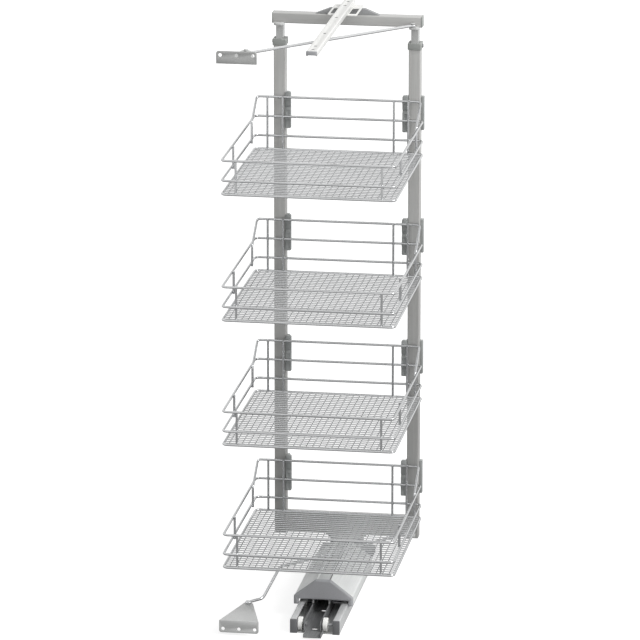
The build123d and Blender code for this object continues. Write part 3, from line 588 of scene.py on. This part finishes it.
def turnWheel(nodeName, w):
    outline = wheelOutline(w)
    edges = [(i, (i + 1) % len(outline)) for i in range(len(outline))]
    pieces = []
    for x in w["x"]:
        centre = (x * mm, w["y"] * mm, w["z"] * mm)
        curve = bpy.data.meshes.new("outline")
        spots = [((x + across) * mm, w["y"] * mm, (w["z"] + out) * mm) for across, out in outline]
        curve.from_pydata(spots, edges, [])
        wheel = bpy.data.objects.new("wheel", curve)
        bpy.context.scene.collection.objects.link(wheel)
        pickOnly(wheel)
        bpy.ops.object.mode_set(mode="EDIT")
        bpy.ops.mesh.select_all(action="SELECT")
        bpy.ops.mesh.spin(steps=turning["steps"], angle=2 * pi, center=centre, axis=(1, 0, 0))
        bpy.ops.mesh.select_all(action="SELECT")
        bpy.ops.mesh.remove_doubles(threshold=turning["weld"] * mm)
        bpy.ops.mesh.normals_make_consistent(inside=False)
        bpy.ops.object.mode_set(mode="OBJECT")
        bpy.ops.object.shade_smooth_by_angle(angle=radians(turning["smoothWithin"]))
        pieces.append(wheel)
    obj = joinPieces(nodeName + "_turned", pieces)
    finishPiece(obj, nodeName)
    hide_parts(nodeName)


for nodeName, settings in wheels.items():
    turnWheel(nodeName, settings)
print("wheels turned")

# thin sheets of painted shade: a black strip in the groove on the right of the cover's strip for the
# groove's shadow, and a dark sheet in the ceiling rail with a disc in each of the rail's holes for its shaded
# inside
paintedShades = {
    # painted shade: a black strip where the groove beside the cover's strip lies in shadow
    "cover_groove_painted_shade": {
        "low": (14.1, -113.8, 89.1), "high": (15.4, 198.8, 90.2), "finish": "grooveShadeBlack", "beside": "cover"},
    # painted shade: a dark sheet inside the ceiling rail and a dark disc in each of its holes
    "ceiling_rail_painted_shade": {
        "low": (-5.5, -289.0, 1421.28), "high": (5.5, 281.0, 1421.42), "finish": "railShadeGrey",
        "beside": "ceiling_rail", "shadedHoles": (-275.7, -239.3, -101.8, 74.7, 211.0, 258.0)},
}
# the size of the painted-shade discs in the ceiling rail's holes
holeShadeDisc = {"radius": 3.7, "low": 1421.35, "high": 1422.7, "sides": 24}


# a dark disc of painted shade in one of the ceiling rail's holes
def makeHoleShadeDisc(y):
    bpy.ops.mesh.primitive_cylinder_add(
        vertices=holeShadeDisc["sides"], radius=holeShadeDisc["radius"] * mm, depth=(holeShadeDisc["high"] - holeShadeDisc["low"]) * mm,
        location=(0, y * mm, (holeShadeDisc["low"] + holeShadeDisc["high"]) / 2 * mm))
    return bpy.context.object


# a thin dark sheet of painted shade, with a painted-shade disc in each hole it lists
def makePaintedShade(name, shadeSheet):
    corners = list(zip(shadeSheet["low"], shadeSheet["high"]))
    deselectAll()
    bpy.ops.mesh.primitive_cube_add(size=1, location=[(low + high) / 2 * mm for low, high in corners])
    strip = bpy.context.object
    strip.scale = [(high - low) * mm for low, high in corners]
    strip = joinPieces(name, [strip] + [makeHoleShadeDisc(y) for y in shadeSheet.get("shadedHoles", ())])
    bpy.ops.object.transform_apply(location=True, rotation=True, scale=True)
    paint(strip, finishes[shadeSheet["finish"]])
    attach(strip, bodyOfNode[shadeSheet["beside"]])


for shadeName, shadeSheet in paintedShades.items():
    makePaintedShade(shadeName, shadeSheet)

# floor, light and camera: lengths are in metres here, but the lens and sensor in mm; metal and gloss
# come to see the floor's glow between the two distances of nearShade
studio = {
    "floorSize": 30.0, "floorDrop": 0.0005, "floorTone": 0.38, "floorGlow": 0.8, "floorRoughness": 0.9,
    "nearShade": (2.5, 7.5), "keySide": (0.76, -0.2, 0.64), "shadeFrom": -0.3, "shadeLevel": 0.08,
    "keyLevel": 1.28, "sunPower": 1.6, "sunSize": radians(20),
}
camera = {
    "place": (1.8874, -12.09005, 4.0918), "target": (-0.02677, -0.002, 0.7027), "lens": 300.1,
    "sensor": 36.0, "farthest": 100.0,
}


def raysThatSeeTheRoom(nodes, links, reflected=None):
    # 1 for rays from the camera and for those that metal and gloss send out, 0 for the rest;
    # reflected is how much of the room those of metal and gloss see
    rays = nodes.new("ShaderNodeLightPath")
    sentOut = nodes.new("ShaderNodeMath")
    sentOut.operation = "MAXIMUM"
    links.new(rays.outputs["Is Glossy Ray"], sentOut.inputs[0])
    links.new(rays.outputs["Is Transmission Ray"], sentOut.inputs[1])
    share = nodes.new("ShaderNodeMath")
    share.operation = "MULTIPLY"
    share.inputs[1].default_value = 1.0
    links.new(sentOut.outputs[0], share.inputs[0])
    if reflected:
        links.new(reflected, share.inputs[1])
    seen = nodes.new("ShaderNodeMath")
    seen.operation = "MAXIMUM"
    links.new(rays.outputs["Is Camera Ray"], seen.inputs[0])
    links.new(share.outputs[0], seen.inputs[1])
    return seen.outputs[0]


def makeFloor():
    deselectAll()
    bpy.ops.mesh.primitive_plane_add(size=studio["floorSize"], location=(0, 0, -studio["floorDrop"]))
    floor = bpy.context.object
    floor.name = "studio_floor"
    material = bpy.data.materials.new("studioFloor")
    material.use_nodes = True
    nodes, links = material.node_tree.nodes, material.node_tree.links
    shader = nodes["Principled BSDF"]
    grey = studio["floorTone"]
    shader.inputs["Base Color"].default_value = (grey, grey, grey, 1)
    shader.inputs["Roughness"].default_value = studio["floorRoughness"]
    shader.inputs["Specular IOR Level"].default_value = 0
    shader.inputs["Emission Color"].default_value = white
    place = nodes.new("ShaderNodeTexCoord")
    reach = nodes.new("ShaderNodeVectorMath")
    reach.operation = "LENGTH"
    links.new(place.outputs["Object"], reach.inputs[0])
    away = nodes.new("ShaderNodeMapRange")
    away.interpolation_type = "SMOOTHSTEP"
    nearEnd, farEnd = studio["nearShade"]
    away.inputs["From Min"].default_value = nearEnd
    away.inputs["From Max"].default_value = farEnd
    links.new(reach.outputs["Value"], away.inputs["Value"])
    glow = nodes.new("ShaderNodeMath")
    glow.operation = "MULTIPLY"
    glow.inputs[1].default_value = studio["floorGlow"]
    links.new(raysThatSeeTheRoom(nodes, links, away.outputs["Result"]), glow.inputs[0])
    links.new(glow.outputs[0], shader.inputs["Emission Strength"])
    floor.data.materials.append(material)


def makeSky():
    # brighter towards the key side, from the cosine shadeFrom on, as from a large soft lamp up on the right
    world = bpy.data.worlds.new("studio")
    bpy.context.scene.world = world
    world.use_nodes = True
    nodes, links = world.node_tree.nodes, world.node_tree.links
    back = nodes["Background"]
    place = nodes.new("ShaderNodeTexCoord")
    towardsKey = nodes.new("ShaderNodeVectorMath")
    towardsKey.operation = "DOT_PRODUCT"
    towardsKey.inputs[1].default_value = Vector(studio["keySide"]).normalized()
    links.new(place.outputs["Generated"], towardsKey.inputs[0])
    level = nodes.new("ShaderNodeMapRange")
    level.inputs["From Min"].default_value = studio["shadeFrom"]
    level.inputs["From Max"].default_value = 1.0
    level.inputs["To Min"].default_value = studio["shadeLevel"]
    level.inputs["To Max"].default_value = studio["keyLevel"]
    links.new(towardsKey.outputs["Value"], level.inputs["Value"])
    pick = nodes.new("ShaderNodeMix")
    pick.data_type = "FLOAT"
    pick.inputs[3].default_value = 1.0
    links.new(raysThatSeeTheRoom(nodes, links), pick.inputs[0])
    links.new(level.outputs["Result"], pick.inputs[2])
    links.new(pick.outputs[0], back.inputs["Strength"])
    back.inputs["Color"].default_value = white


def makeSun():
    lamp = bpy.data.lights.new("softSun", "SUN")
    lamp.energy = studio["sunPower"]
    lamp.angle = studio["sunSize"]
    obj = bpy.data.objects.new("softSun", lamp)
    obj.rotation_euler = Vector(studio["keySide"]).to_track_quat("Z", "Y").to_euler()
    bpy.context.scene.collection.objects.link(obj)


def makeCamera():
    lens = bpy.data.cameras.new("view")
    lens.lens = camera["lens"]
    lens.sensor_width = camera["sensor"]
    lens.clip_end = camera["farthest"]
    obj = bpy.data.objects.new("view", lens)
    obj.location = camera["place"]
    gaze = Vector(camera["target"]) - Vector(camera["place"])
    obj.rotation_euler = gaze.to_track_quat("-Z", "Y").to_euler()
    bpy.context.scene.collection.objects.link(obj)
    bpy.context.scene.camera = obj


makeFloor()
makeSky()
makeSun()
makeCamera()
bpy.context.scene.view_settings.view_transform = "Standard"
print("studio set")
